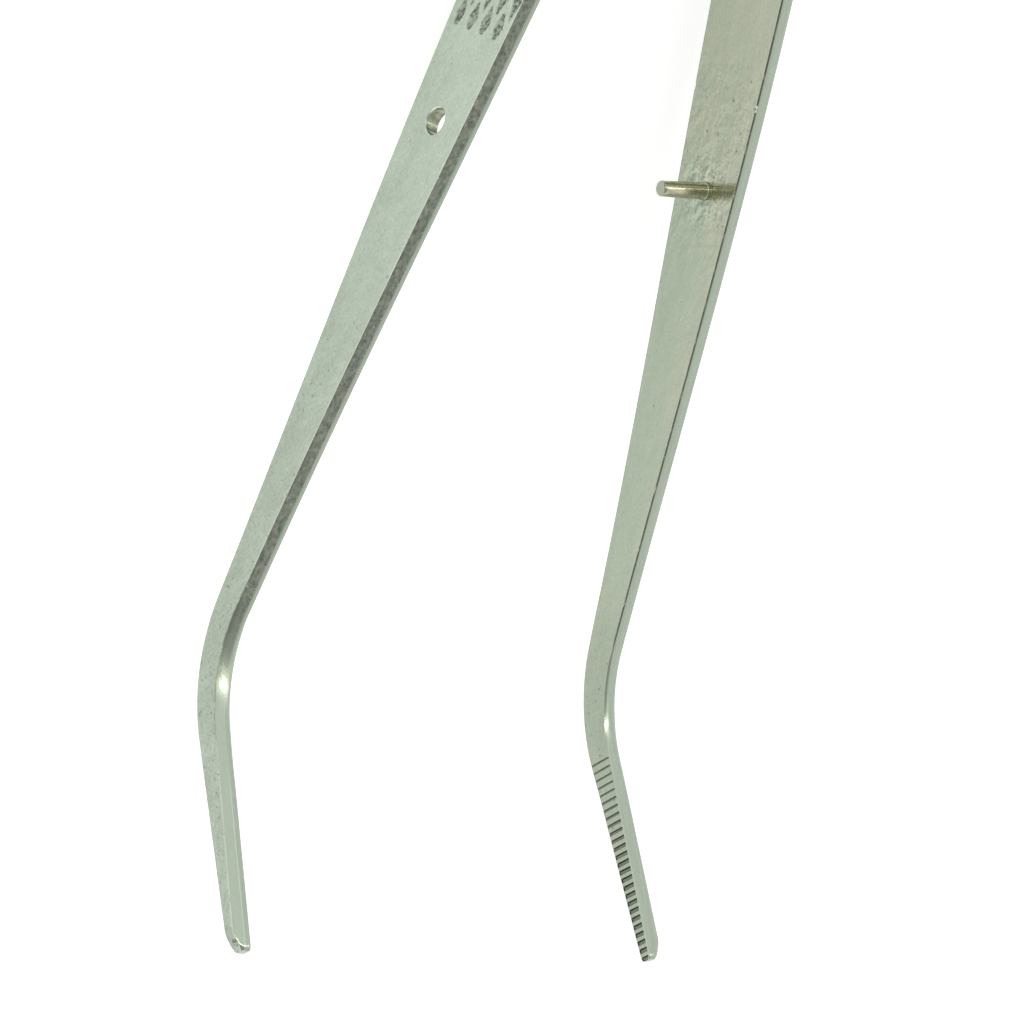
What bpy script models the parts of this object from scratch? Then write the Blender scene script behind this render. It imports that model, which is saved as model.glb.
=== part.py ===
"""Spring forceps with angled serrated jaws, a guide pin and knurled grips.

Two stainless blades are welded together at the head (+Y) and spring apart towards the
jaws (-Y). The left blade (-X) has the guide hole, and the right blade (+X) carries the
guide pin. The jaws turn up towards +Z. The tool lies on the lower edges of its grips,
at z = 0, and the origin is at the middle of its length and opening. Units are metres.

Each blade is one springy strip. Here it is split where it flexes, into a heel that is
fixed in the head and an arm that turns about a vertical axis in the split.
"""

import math

import bmesh
import bpy
from mathutils import Vector

# Lengths along a blade, from the head to the tip
WELD_LENGTH = 0.0085  # flat heel, welded to the other blade's heel
SPRING_LENGTH = 0.012  # curved stretch in which the blade leaves the seam
ARM_LENGTH = 0.0724  # from the end of the spring curve to the guide pin
PIN_TO_BEND = 0.045  # from the guide pin to where the arm's and jaw's centre lines cross
JAW_LENGTH = 0.0226  # from that crossing to the tip
BEND_RADIUS = 0.013
BEND_ANGLE = math.radians(45)

# How far the open blades lean out from the middle plane
PIN_SPREAD = math.radians(8.17)
BOW = math.radians(1.59) / PIN_TO_BEND  # lean lost per metre towards the tip
JAW_TOE = math.radians(3.8)  # lean lost over the bend
SEAM_GAP = 0.0003

# Widths across the blade
HEAD_WIDTH = 0.007
GRIP_WIDTH = 0.0089
NECK_WIDTH = 0.0024
TIP_WIDTH = 0.00118
GRIP_TOP = -0.058  # the parallel grip's two ends, from the guide pin
GRIP_END = -0.028
NECK_END = 0.055

# Section of the blade
THICKNESS = 0.00128
TIP_THICKNESS = 0.0015
EDGE_FLAT = 0.0004  # square edge next to the inner face
CHAMFER = 0.0003  # how far the outer face is narrower, on each side
TIP_ROUND = 0.0005
TIP_BLUNT = 0.55  # share of its width and thickness that the very end keeps
HEAD_ROUND = 0.003
HEAD_BLUNT = 0.45

# Serrations across the inner face of each jaw
GROOVE_COUNT = 25
GROOVE_PITCH = 0.000685
GROOVE_WIDTH = 0.0003
GROOVE_DEPTH = 0.0002
TIP_LAND = 0.00025  # plain metal between the last groove and the tip's rounding

# Guide pin and its holes
PIN_RADIUS = 0.00068
PIN_END_RADIUS = 0.00061
PIN_REACH = 0.0046  # how far it stands out of the inner face
PIN_CHAMFER = 0.00018
PIN_GAP = 0.0003
GUIDE_HOLE_RADIUS = 0.0011

SPLIT_GAP = 0.0003  # between a heel and its arm
PLAN_STEP = 0.00025
STATION_STEP = 0.003
BEND_STATIONS = 12
END_STATIONS = 5
ROUND_SIDES = 32

PIN_AT = WELD_LENGTH + SPRING_LENGTH + ARM_LENGTH
BEND_AT = PIN_AT + PIN_TO_BEND
BEND_TANGENT = BEND_RADIUS * math.tan(BEND_ANGLE / 2)
BEND_START = BEND_AT - BEND_TANGENT
BEND_END = BEND_START + BEND_RADIUS * BEND_ANGLE
TIP_AT = BEND_END + JAW_LENGTH - BEND_TANGENT
SPLIT_AT = WELD_LENGTH + SPRING_LENGTH / 2

STEEL = (0.52, 0.56, 0.5, 1.0)
BRIGHT_STEEL = (0.62, 0.6, 0.5, 1.0)


def lean(along):
    """Angle between the middle plane and the blade, at a distance from the head."""
    spring_end = WELD_LENGTH + SPRING_LENGTH
    widest = PIN_SPREAD + BOW * ARM_LENGTH
    if along <= WELD_LENGTH:
        return 0.0
    if along <= spring_end:
        return widest * (along - WELD_LENGTH) / SPRING_LENGTH
    arm = widest - BOW * (min(along, BEND_AT) - spring_end)
    toe = (along - BEND_START) / (2 * BEND_TANGENT)
    return arm - JAW_TOE * min(max(toe, 0.0), 1.0)


def plan_table():
    """Points (x, y) of the inner face seen from above, a step apart, from the head."""
    points = [(SEAM_GAP / 2, 0.0)]
    for step in range(int((TIP_AT + 0.01) / PLAN_STEP)):
        angle = lean((step + 0.5) * PLAN_STEP)
        x, y = points[-1]
        points.append((x + PLAN_STEP * math.sin(angle), y - PLAN_STEP * math.cos(angle)))
    return points


PLAN = plan_table()


def plan(along):
    """(x, y) of the inner face at a distance from the head."""
    position = min(max(along / PLAN_STEP, 0.0), len(PLAN) - 1.001)
    index = int(position)
    share = position - index
    (x0, y0), (x1, y1) = PLAN[index], PLAN[index + 1]
    return x0 + (x1 - x0) * share, y0 + (y1 - y0) * share


def centre_line(distance):
    """(along, rise, heading) of the blade's centre line in the blade's own plane."""
    if distance <= BEND_START:
        return distance, 0.0, 0.0
    if distance <= BEND_END:
        angle = (distance - BEND_START) / BEND_RADIUS
        along = BEND_START + BEND_RADIUS * math.sin(angle)
        return along, BEND_RADIUS * (1 - math.cos(angle)), angle
    along, rise, angle = centre_line(BEND_END)
    rest = distance - BEND_END
    return along + rest * math.cos(angle), rise + rest * math.sin(angle), angle


def ease(value, start, end):
    """0 before start, 1 after end, and a half cosine wave between them."""
    share = min(max((value - start) / (end - start), 0.0), 1.0)
    return (1 - math.cos(math.pi * share)) / 2


def width(distance):
    """Width of the inner face."""
    from_pin = distance - PIN_AT
    if distance > BEND_AT:
        at_bend = width(BEND_AT)
        share = (distance - BEND_AT) / (TIP_AT - BEND_AT)
        return at_bend + (TIP_WIDTH - at_bend) * share
    if from_pin < GRIP_END:
        return HEAD_WIDTH + (GRIP_WIDTH - HEAD_WIDTH) * ease(from_pin, -PIN_AT, GRIP_TOP)
    return GRIP_WIDTH + (NECK_WIDTH - GRIP_WIDTH) * ease(from_pin, GRIP_END, NECK_END)


def thickness(distance):
    share = min(max((distance - BEND_AT) / (TIP_AT - BEND_AT), 0.0), 1.0)
    return THICKNESS + (TIP_THICKNESS - THICKNESS) * share


def rounding(distance):
    """Share of the full width left by the round ends of the blade."""
    tip = (distance - (TIP_AT - TIP_ROUND)) / TIP_ROUND
    if tip > 0:
        return TIP_BLUNT + (1 - TIP_BLUNT) * math.sqrt(max(1 - tip * tip, 0.0))
    head = (HEAD_ROUND - distance) / HEAD_ROUND
    if head > 0:
        return HEAD_BLUNT + (1 - HEAD_BLUNT) * math.sqrt(max(1 - head * head, 0.0))
    return 1.0


def section(distance, groove):
    """The blade's section as (across, outwards) points. A groove sinks the inner face."""
    full = rounding(distance)
    half = width(distance) * full / 2
    depth = thickness(distance)
    if distance > BEND_AT:
        depth *= full
    edge = min(EDGE_FLAT, depth / 2)
    narrow = half - min(CHAMFER, half / 2)
    return [
        (-half, groove),
        (half, groove),
        (half, edge),
        (narrow, depth),
        (-narrow, depth),
        (-half, edge),
    ]


HALF_LENGTH = 0.0  # set by centre_length, so that the origin is at the middle


def place(side, distance, across, outwards):
    """A point of a blade in the tool's frame. side is -1 for left and 1 for right."""
    along, rise, heading = centre_line(distance)
    along -= across * math.sin(heading)
    x, y = plan(along)
    angle = lean(along)
    x += outwards * math.cos(angle)
    y += outwards * math.sin(angle) + HALF_LENGTH
    return Vector((side * x, y, GRIP_WIDTH / 2 + rise + across * math.cos(heading)))


def centre_length():
    """Half of the overall length, from the head's end to the lowest y of the tip."""
    ends = [place(1, TIP_AT, *point).y for point in section(TIP_AT, 0.0)]
    return -min(ends) / 2


HALF_LENGTH = centre_length()


def spread_out(start, end, step):
    """Stations from start to end, evenly spaced at about a step."""
    count = max(1, round((end - start) / step))
    return [start + (end - start) * i / count for i in range(count + 1)]


def quarter_turn():
    """Angles from 0 to 90 degrees, which space the stations of a round end."""
    return [math.pi / 2 * i / END_STATIONS for i in range(END_STATIONS + 1)]


def serrations():
    """(distance, depth) pairs of the V grooves, from the bend to the tip."""
    last = TIP_AT - TIP_ROUND - TIP_LAND - GROOVE_WIDTH / 2
    pairs = []
    for i in range(GROOVE_COUNT):
        middle = last - (GROOVE_COUNT - 1 - i) * GROOVE_PITCH
        pairs += [
            (middle - GROOVE_WIDTH / 2, 0.0),
            (middle, GROOVE_DEPTH),
            (middle + GROOVE_WIDTH / 2, 0.0),
        ]
    return pairs


def heel_stations():
    end = SPLIT_AT - SPLIT_GAP / 2
    rounded = [HEAD_ROUND * (1 - math.cos(turn)) for turn in quarter_turn()[:-1]]
    rest = spread_out(HEAD_ROUND, WELD_LENGTH, STATION_STEP)
    spring = spread_out(WELD_LENGTH, end, STATION_STEP / 2)
    return [(s, 0.0) for s in rounded + rest + spring[1:]]


def arm_stations():
    start = SPLIT_AT + SPLIT_GAP / 2
    spring_end = WELD_LENGTH + SPRING_LENGTH
    grooves = serrations()
    round_start = TIP_AT - TIP_ROUND
    stations = spread_out(start, spring_end, STATION_STEP / 2)
    stations += spread_out(spring_end, BEND_START, STATION_STEP)[1:]
    bend = spread_out(BEND_START, BEND_END, (BEND_END - BEND_START) / BEND_STATIONS)
    stations += [s for s in bend[1:] if s < grooves[0][0]]
    tip = [round_start + TIP_ROUND * math.sin(turn) for turn in quarter_turn()]
    return [(s, 0.0) for s in stations] + grooves + [(s, 0.0) for s in tip]


def loft(name, side, stations, origin):
    """A closed strip through the sections at the stations, with flat ends."""
    bm = bmesh.new()
    rings = []
    for distance, groove in stations:
        points = [place(side, distance, *p) - origin for p in section(distance, groove)]
        rings.append([bm.verts.new(p) for p in points])
    for one, two in zip(rings, rings[1:]):
        for i in range(len(one)):
            j = (i + 1) % len(one)
            bm.faces.new((one[i], one[j], two[j], two[i]))
    bm.faces.new(rings[0])
    bm.faces.new(rings[-1])
    bmesh.ops.recalc_face_normals(bm, faces=bm.faces)
    return finish_object(bm, name, origin)


def turned(name, profile, base, direction):
    """A round solid: (radius, distance) points turned about an axis from base."""
    across = direction.orthogonal().normalized()
    other = direction.cross(across)
    bm = bmesh.new()
    rings = []
    for radius, distance in profile:
        ring = []
        for i in range(ROUND_SIDES):
            angle = 2 * math.pi * i / ROUND_SIDES
            out = across * math.cos(angle) + other * math.sin(angle)
            ring.append(bm.verts.new(direction * distance + out * radius))
        rings.append(ring)
    for one, two in zip(rings, rings[1:]):
        for i in range(ROUND_SIDES):
            j = (i + 1) % ROUND_SIDES
            bm.faces.new((one[i], one[j], two[j], two[i]))
    bm.faces.new(rings[0])
    bm.faces.new(rings[-1])
    bmesh.ops.recalc_face_normals(bm, faces=bm.faces)
    return finish_object(bm, name, base)


def finish_object(bm, name, origin):
    mesh = bpy.data.meshes.new(name)
    bm.to_mesh(mesh)
    bm.free()
    mesh.shade_smooth()
    mesh.set_sharp_from_angle(angle=math.radians(30))
    obj = bpy.data.objects.new(name, mesh)
    bpy.context.scene.collection.objects.link(obj)
    obj.location = origin
    return obj


def drill(target, side, radius):
    """Cuts the hole at the guide pin's station, square to the blade."""
    base = place(side, PIN_AT, 0.0, -THICKNESS)
    direction = (place(side, PIN_AT, 0.0, THICKNESS) - base).normalized()
    cutter = turned(target.name + "_drill", [(radius, 0.0), (radius, 3 * THICKNESS)], base, direction)
    cutter.hide_render = True
    cutter.display_type = "WIRE"
    cut = target.modifiers.new("hole", "BOOLEAN")
    cut.operation = "DIFFERENCE"
    cut.solver = "EXACT"
    cut.object = cutter


def steel(name, colour, roughness):
    material = bpy.data.materials.new(name)
    material.use_nodes = True
    shader = material.node_tree.nodes["Principled BSDF"]
    shader.inputs["Base Color"].default_value = colour
    shader.inputs["Metallic"].default_value = 1.0
    shader.inputs["Roughness"].default_value = roughness
    return material


def blade(side_name, side, hole_radius):
    """The heel and the arm of one blade. The arm's origin is on its flexing axis."""
    axis = place(side, SPLIT_AT, 0.0, THICKNESS / 2)
    heel = loft(side_name + "_blade_heel", side, heel_stations(), Vector((0, 0, 0)))
    arm = loft(side_name + "_blade_arm", side, arm_stations(), axis)
    drill(arm, side, hole_radius)
    return heel, arm


def guide_pin():
    """A slightly tapered pin through the right blade, flush outside, chamfered at its end."""
    base = place(1, PIN_AT, 0.0, THICKNESS)
    tip = place(1, PIN_AT, 0.0, -PIN_REACH)
    length = (tip - base).length
    profile = [
        (PIN_RADIUS, 0.0),
        (PIN_RADIUS, THICKNESS),
        (PIN_END_RADIUS, length - PIN_CHAMFER),
        (PIN_END_RADIUS - PIN_CHAMFER, length),
    ]
    return turned("guide_pin", profile, base, (tip - base).normalized())


def main():
    for obj in list(bpy.data.objects):
        bpy.data.objects.remove(obj, do_unlink=True)
    satin = steel("blade_steel", STEEL, 0.3)
    bright = steel("pin_steel", BRIGHT_STEEL, 0.18)
    left = blade("left", -1, GUIDE_HOLE_RADIUS)
    right = blade("right", 1, PIN_RADIUS + PIN_GAP)
    for obj in left + right:
        obj.data.materials.append(satin)
    pin = guide_pin()
    pin.data.materials.append(bright)
    bpy.context.view_layer.update()
    pin.parent = right[1]
    pin.matrix_parent_inverse = right[1].matrix_world.inverted()


main()
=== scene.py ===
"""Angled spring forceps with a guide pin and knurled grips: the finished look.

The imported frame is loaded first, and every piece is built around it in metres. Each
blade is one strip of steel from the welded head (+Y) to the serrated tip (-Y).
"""

import math

import bpy
from bpy.props import FloatProperty, FloatVectorProperty, IntProperty, PointerProperty
from mathutils import Euler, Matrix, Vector


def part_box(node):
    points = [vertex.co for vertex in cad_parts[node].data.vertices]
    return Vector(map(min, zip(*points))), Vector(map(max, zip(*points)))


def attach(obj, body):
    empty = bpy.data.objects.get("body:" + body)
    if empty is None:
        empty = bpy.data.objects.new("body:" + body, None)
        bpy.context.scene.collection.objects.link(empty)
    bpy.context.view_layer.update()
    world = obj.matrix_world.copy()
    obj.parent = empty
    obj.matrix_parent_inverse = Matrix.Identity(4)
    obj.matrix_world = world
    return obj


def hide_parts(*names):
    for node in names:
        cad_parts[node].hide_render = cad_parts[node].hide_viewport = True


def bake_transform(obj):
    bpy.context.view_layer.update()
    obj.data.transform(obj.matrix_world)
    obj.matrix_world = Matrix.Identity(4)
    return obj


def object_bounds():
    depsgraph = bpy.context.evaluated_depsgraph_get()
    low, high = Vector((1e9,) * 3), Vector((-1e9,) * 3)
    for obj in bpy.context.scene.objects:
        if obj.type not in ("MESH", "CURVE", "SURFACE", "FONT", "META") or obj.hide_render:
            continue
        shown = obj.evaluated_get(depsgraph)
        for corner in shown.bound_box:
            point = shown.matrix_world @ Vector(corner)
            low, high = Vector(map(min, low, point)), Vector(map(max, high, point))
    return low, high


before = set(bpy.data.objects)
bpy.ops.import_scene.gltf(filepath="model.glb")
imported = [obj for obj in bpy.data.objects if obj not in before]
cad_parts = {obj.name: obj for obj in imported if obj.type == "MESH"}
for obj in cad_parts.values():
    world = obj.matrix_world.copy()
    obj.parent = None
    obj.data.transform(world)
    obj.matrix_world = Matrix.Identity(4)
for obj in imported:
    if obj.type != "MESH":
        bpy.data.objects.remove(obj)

bl_info = {
    "name": "Angled spring forceps",
    "version": (1, 0, 0),
    "blender": (4, 5, 0),
    "location": "3D View > Sidebar > Forceps",
    "description": "Builds angled spring forceps with a guide pin, knurling and serrations",
    "category": "Add Mesh",
}

CAD_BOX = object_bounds()
HEAD_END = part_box("left_blade_heel")[1].y
LYING_HEIGHT = sum(corner.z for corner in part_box("left_blade_heel")) / 2
LEFT, RIGHT = -1, 1
MILLIMETRE = 0.001

# The finishes of a blade, in the order of the numbers kept on its faces
INNER, CHAMFER, EDGE, BEVEL, OUTER = range(5)


def size(name, description, default):
    return FloatProperty(
        name=name,
        description=description,
        default=default,
        unit="LENGTH",
        subtype="DISTANCE",
        precision=5,
    )


def turn(name, description, degrees):
    return FloatProperty(
        name=name, description=description, default=math.radians(degrees), subtype="ANGLE"
    )


def share(name, description, default):
    return FloatProperty(
        name=name, description=description, default=default, min=0, max=1, subtype="FACTOR"
    )


def colour(name, description, default):
    return FloatVectorProperty(
        name=name, description=description, default=default, min=0, max=1, size=3, subtype="COLOR"
    )


class BladeSizes(bpy.types.PropertyGroup):
    """The strip that both blades are made from."""

    weld_length: size("Weld length", "Flat heel that is welded to the other blade", 0.0085)
    spring_length: size("Spring length", "Curve in which the blade leaves the seam", 0.012)
    arm_length: size("Arm length", "From the spring curve to the guide pin", 0.0724)
    pin_to_bend: size("Pin to bend", "From the guide pin to the corner of the bend", 0.045)
    jaw_length: size("Jaw length", "From the corner of the bend to the tip", 0.0226)
    bend_radius: size("Bend radius", "Radius of the bend, on the centre line", 0.013)
    bend_angle: turn("Bend angle", "How far the jaw turns up", 45)
    spread: turn("Spread", "Lean of the open blade at the guide pin", 8.17)
    bow: turn("Bow", "Lean that is lost from the guide pin to the bend", 1.59)
    toe: turn("Toe", "Lean that is lost over the bend", 3.8)
    seam_gap: size("Seam gap", "Between the two heels", 0.0003)
    head_width: size("Head width", "Width at the head", 0.007)
    grip_width: size("Grip width", "Width along the knurled grip", 0.0089)
    neck_width: size("Neck width", "Width where the taper would end, past the bend", 0.00268)
    tip_width: size("Tip width", "Width at the tip", 0.00118)
    grip_top: size("Grip top", "Head end of the parallel grip, from the pin", -0.058)
    grip_end: size("Grip end", "Other end of the parallel grip, from the pin", -0.028)
    neck_end: size("Neck end", "Where the taper would end, from the pin", 0.055)
    head_round: size("Head round", "Length of the head's rounded end", 0.003)
    head_blunt: share("Head blunt", "Share of its width that the head's end keeps", 0.45)
    tip_round: size("Tip round", "Length of the tip's rounding, seen from above", 0.0005)
    tip_blunt: share("Tip blunt", "Share of its width that the tip's end keeps", 0.55)
    tip_slope: size("Tip slope", "Length of the slope on the tip's outer side", 0.0017)
    tip_depth: share("Tip depth", "Share of its thickness that the tip's end keeps", 0.52)
    thickness: size("Thickness", "Thickness of the arm", 0.00128)
    tip_thickness: size("Tip thickness", "Thickness of the jaw near the tip", 0.00147)
    edge_height: size("Edge height", "Top of the square edge, from the inner face", 0.00046)
    bevel_inset: size("Bevel inset", "How far the bevel narrows the outer face", 0.00024)
    jaw_edge_height: size("Jaw edge height", "The same on the jaw", 0.00052)
    jaw_bevel_inset: size("Jaw bevel inset", "How far the jaw's bevel narrows it", 0.00014)
    jaw_crown: size("Jaw crown", "Outward bulge of the jaw's bevels", 0.00003)
    chamfer_width: size("Chamfer width", "Small chamfer of the inner face's edges", 0.00013)
    chamfer_height: size("Chamfer height", "Height of the same chamfer", 0.00006)
    worn_width: size("Worn width", "Width of that chamfer where the bend wore it", 0.00005)
    worn_height: size("Worn height", "Height of that chamfer where the bend wore it", 0.00022)
    dimple_radius: size("Dimple radius", "Spot-weld dimple on the heel", 0.0011)
    dimple_depth: size("Dimple depth", "Depth of the spot-weld dimple", 0.00006)
    nick_at: size("Nick", "Small nick in the right blade's edge, from the pin", -0.0077)
    nick_depth: size("Nick depth", "Depth of the same nick", 0.00016)
    tip_nick_depth: size("Tip nick depth", "Dent in the slope of the left tip", 0.00022)


class ReliefSizes(bpy.types.PropertyGroup):
    """Knurling on the outer faces, and serrations on the jaws' inner faces."""

    knurl_start: size("Knurl start", "Head end of the knurling, from the pin", -0.062)
    knurl_end: size("Knurl end", "Other end of the knurling, from the pin", -0.0071)
    knurl_pitch: size("Knurl pitch", "From pit to pit, across the blade", 0.00170)
    knurl_angle: turn("Knurl angle", "Between the ridges and the blade's axis", 20.5)
    knurl_land: size("Knurl land", "Width of the flat ridges", 0.00044)
    knurl_wall: size("Knurl wall", "Width of a pit's sloping wall", 0.00020)
    knurl_depth: size("Knurl depth", "Depth of the pits", 0.00024)
    knurl_centre: size("Knurl centre", "Middle of the last row of pits, from the pin", -0.0081)
    knurl_offset: size("Knurl offset", "Middle of one pit of that row, across", 0.00068)
    knurl_margin: size("Knurl margin", "Plain strip next to the bevels", 0.00028)
    groove_count: IntProperty(
        name="Groove count", description="Serrations on each jaw", default=26, min=1
    )
    groove_pitch: size("Groove pitch", "From serration to serration", 0.000685)
    groove_to_tip: size("Groove to tip", "Middle of the last serration, from the tip", 0.0002)
    groove_narrow: size("Narrow groove", "Width of the first serrations", 0.00019)
    groove_wide: size("Wide groove", "Width of the last serrations", 0.00040)
    groove_steep: share("Groove steepness", "Depth of a serration over its width", 0.45)


class PinSizes(bpy.types.PropertyGroup):
    """The guide pin and the two holes."""

    base_radius: size("Base radius", "Radius of the pin at the blade", 0.00071)
    end_radius: size("End radius", "Radius of the pin at its free end", 0.00064)
    reach: size("Reach", "Length that stands out of the inner face", 0.0046)
    end_round: size("End round", "Rounding of the free end", 0.00016)
    collar_radius: size("Collar radius", "Upset collar at the blade", 0.00072)
    collar_height: size("Collar height", "Height of the same collar", 0.00026)
    hole_radius: size("Hole radius", "Guide hole in the left blade", 0.00105)
    hole_chamfer: size("Hole chamfer", "Broken edge of the guide hole", 0.00008)


class SteelLook(bpy.types.PropertyGroup):
    """Colours and roughness of the steel."""

    satin: colour("Satin steel", "Outer faces", (0.450, 0.515, 0.427))
    polished: colour("Polished steel", "Inner faces", (0.385, 0.440, 0.346))
    stain: colour("Stain", "Yellow-brown tint of the inner faces", (0.413, 0.431, 0.334))
    ground: colour("Ground steel", "Bevels and edges", (0.395, 0.450, 0.368))
    bright: colour("Bright steel", "Guide pin", (0.640, 0.625, 0.450))
    cap: colour("Pin's end", "Free end of the guide pin", (0.350, 0.385, 0.300))
    # Also the painted shade of grooves, knurl pits, the bend's crease and the chamfer
    dark: colour("Dark steel", "Pits, grooves and specks", (0.120, 0.135, 0.105))
    jaw: colour("Jaw flanks", "Bevels and edges of the jaws", (0.440, 0.505, 0.410))
    brown: colour("Brown", "Stained grinding of the left blade's bevel", (0.380, 0.400, 0.322))
    bore: colour("Bore", "Wall of the guide hole", (0.370, 0.415, 0.300))
    # The rim's bright tint is a painted highlight on the hole's broken edge
    rim: colour("Rim", "Broken edge of the guide hole", (0.720, 0.780, 0.660))
    weld: colour("Weld metal", "Fused seam at the head", (0.400, 0.410, 0.370))
    satin_roughness: share("Satin roughness", "Outer faces", 0.30)
    polished_roughness: share("Polished roughness", "Inner faces", 0.17)
    ground_roughness: share("Ground roughness", "Bevels and edges", 0.26)
    bright_roughness: share("Bright roughness", "Guide pin", 0.25)


class StageLook(bpy.types.PropertyGroup):
    """Floor, lights and camera."""

    floor_size: size("Floor size", "Side of the square floor", 3.0)
    floor_glow: share("Floor glow", "Light that the pale floor gives off", 0.60)
    tent_bright: share("Tent sides", "Brightness of the tent's sides", 1.0)
    tent_middle: share("Tent shoulder", "Brightness between the sides and the opening", 0.58)
    tent_dark: share("Tent opening", "Brightness of the dark opening", 0.45)
    tent_opening: FloatVectorProperty(
        name="Opening direction",
        description="From the tool to the middle of the tent's opening",
        default=(-0.33, -0.05, 0.94),
        subtype="DIRECTION",
    )
    softbox_way: FloatVectorProperty(
        name="Softbox direction",
        description="From the tool to the softbox",
        default=(-0.02, 0.47, 0.88),
        subtype="DIRECTION",
    )
    softbox_far: size("Softbox distance", "From the tool to the softbox", 0.7)
    softbox_length: size("Softbox length", "Long side of the softbox, along X", 1.26)
    softbox_width: size("Softbox width", "Short side of the softbox", 0.06)
    softbox_colour: colour("Softbox colour", "Colour of its light", (1.0, 0.97, 0.86))
    softbox_power: FloatProperty(
        name="Softbox power", description="Power of the softbox", default=1.6, unit="POWER"
    )
    camera_place: FloatVectorProperty(
        name="Camera place",
        description="Where the camera stands",
        default=(-0.139895, 0.003868, 0.177913),
        unit="LENGTH",
        subtype="TRANSLATION",
    )
    camera_turn: FloatVectorProperty(
        name="Camera turn",
        description="Rotation of the camera",
        default=(math.radians(-25.1036), math.radians(-33.8955), math.radians(21.565)),
        subtype="EULER",
    )
    camera_lens: FloatProperty(
        name="Focal length", description="Focal length on a 36 mm sensor", default=100.61,
        unit="CAMERA",
    )


# ---------------------------------------------------------------------------
# Node trees


class Value:
    """A number in a node tree, which takes part in Python expressions."""

    def __init__(self, graph, socket):
        self.graph = graph
        self.socket = socket

    def __add__(self, other):
        return self.graph.maths("ADD", self, other)

    def __radd__(self, other):
        return self.graph.maths("ADD", other, self)

    def __sub__(self, other):
        return self.graph.maths("SUBTRACT", self, other)

    def __rsub__(self, other):
        return self.graph.maths("SUBTRACT", other, self)

    def __mul__(self, other):
        return self.graph.maths("MULTIPLY", self, other)

    def __rmul__(self, other):
        return self.graph.maths("MULTIPLY", other, self)

    def __truediv__(self, other):
        return self.graph.maths("DIVIDE", self, other)

    def __gt__(self, other):
        return self.graph.maths("GREATER_THAN", self, other)

    def __lt__(self, other):
        return self.graph.maths("LESS_THAN", self, other)


class Graph:
    """Adds nodes to a material's tree or to a Geometry Nodes tree."""

    def __init__(self, tree):
        self.tree = tree

    def node(self, kind, settings=None, inputs=None):
        """A node of a kind. Its settings are set first, and then its sockets."""
        made = self.tree.nodes.new(kind)
        for name, setting in (settings or {}).items():
            if name == "stops":
                self.set_stops(made.color_ramp, setting)
            else:
                setattr(made, name, setting)
        for name, given in (inputs or {}).items():
            self.feed(self.socket(made.inputs, name), given)
        return made

    def set_stops(self, ramp, stops):
        while len(ramp.elements) < len(stops):
            ramp.elements.new(1.0)
        for element, (position, grey) in zip(ramp.elements, stops):
            element.position = position
            element.color = (grey, grey, grey, 1.0)

    def socket(self, sockets, name):
        if isinstance(name, int):
            return sockets[name]
        by_identifier = [s for s in sockets if s.identifier == name]
        return by_identifier[0] if by_identifier else sockets[name]

    def feed(self, socket, given):
        if isinstance(given, Value):
            given = given.socket
        if isinstance(given, bpy.types.NodeSocket):
            self.tree.links.new(given, socket)
        else:
            socket.default_value = given

    def maths(self, operation, *operands):
        inputs = dict(enumerate(operands))
        made = self.node("ShaderNodeMath", {"operation": operation}, inputs)
        return Value(self, made.outputs[0])

    def smooth(self, value, low, high, to_low=0.0, to_high=1.0):
        """to_low where value is under low, to_high where it is over high, and eased between."""
        inputs = {"Value": value, "From Min": low, "From Max": high}
        inputs.update({"To Min": to_low, "To Max": to_high})
        made = self.node("ShaderNodeMapRange", {"interpolation_type": "SMOOTHSTEP"}, inputs)
        return Value(self, made.outputs[0])

    def vector(self, x, y, z):
        return self.node("ShaderNodeCombineXYZ", None, {0: x, 1: y, 2: z}).outputs[0]

    def split(self, vector):
        made = self.node("ShaderNodeSeparateXYZ", None, {0: vector})
        return [Value(self, socket) for socket in made.outputs]

    def noise(self, vector, detail=3.0, roughness=0.5):
        """Cloudy noise from 0 to 1, about one patch for each unit of the vector."""
        inputs = {"Vector": vector, "Scale": 1.0, "Detail": detail, "Roughness": roughness}
        return Value(self, self.node("ShaderNodeTexNoise", None, inputs).outputs[0])

    def mix(self, factor, first, second):
        """first where factor is 0 and second where it is 1, as colours."""
        inputs = {"Factor_Float": factor, "A_Color": first, "B_Color": second}
        made = self.node("ShaderNodeMix", {"data_type": "RGBA"}, inputs)
        return self.socket(made.outputs, "Result_Color")

    def shaded(self, tone, amount):
        """A colour or a direction times an amount."""
        inputs = {0: tone[:3] if isinstance(tone, tuple) else tone, "Scale": amount}
        return self.node("ShaderNodeVectorMath", {"operation": "SCALE"}, inputs).outputs[0]

    def painted_dent_shade(self, x, y, z, detail):
        """Painted light and shade of uneven dents, from -1 to 1: one side lit, the other shaded, in
        the colour only.
        """
        first = self.noise(self.vector(x, y, z), detail, 0.6)
        second = self.noise(self.vector(x + 0.10, y + 0.13, z), detail, 0.6)
        return self.smooth(first - second, -0.09, 0.09, -1.0, 1.0)

    def attribute(self, name):
        made = self.node("ShaderNodeAttribute", {"attribute_name": name})
        return Value(self, self.socket(made.outputs, "Fac"))


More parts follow.
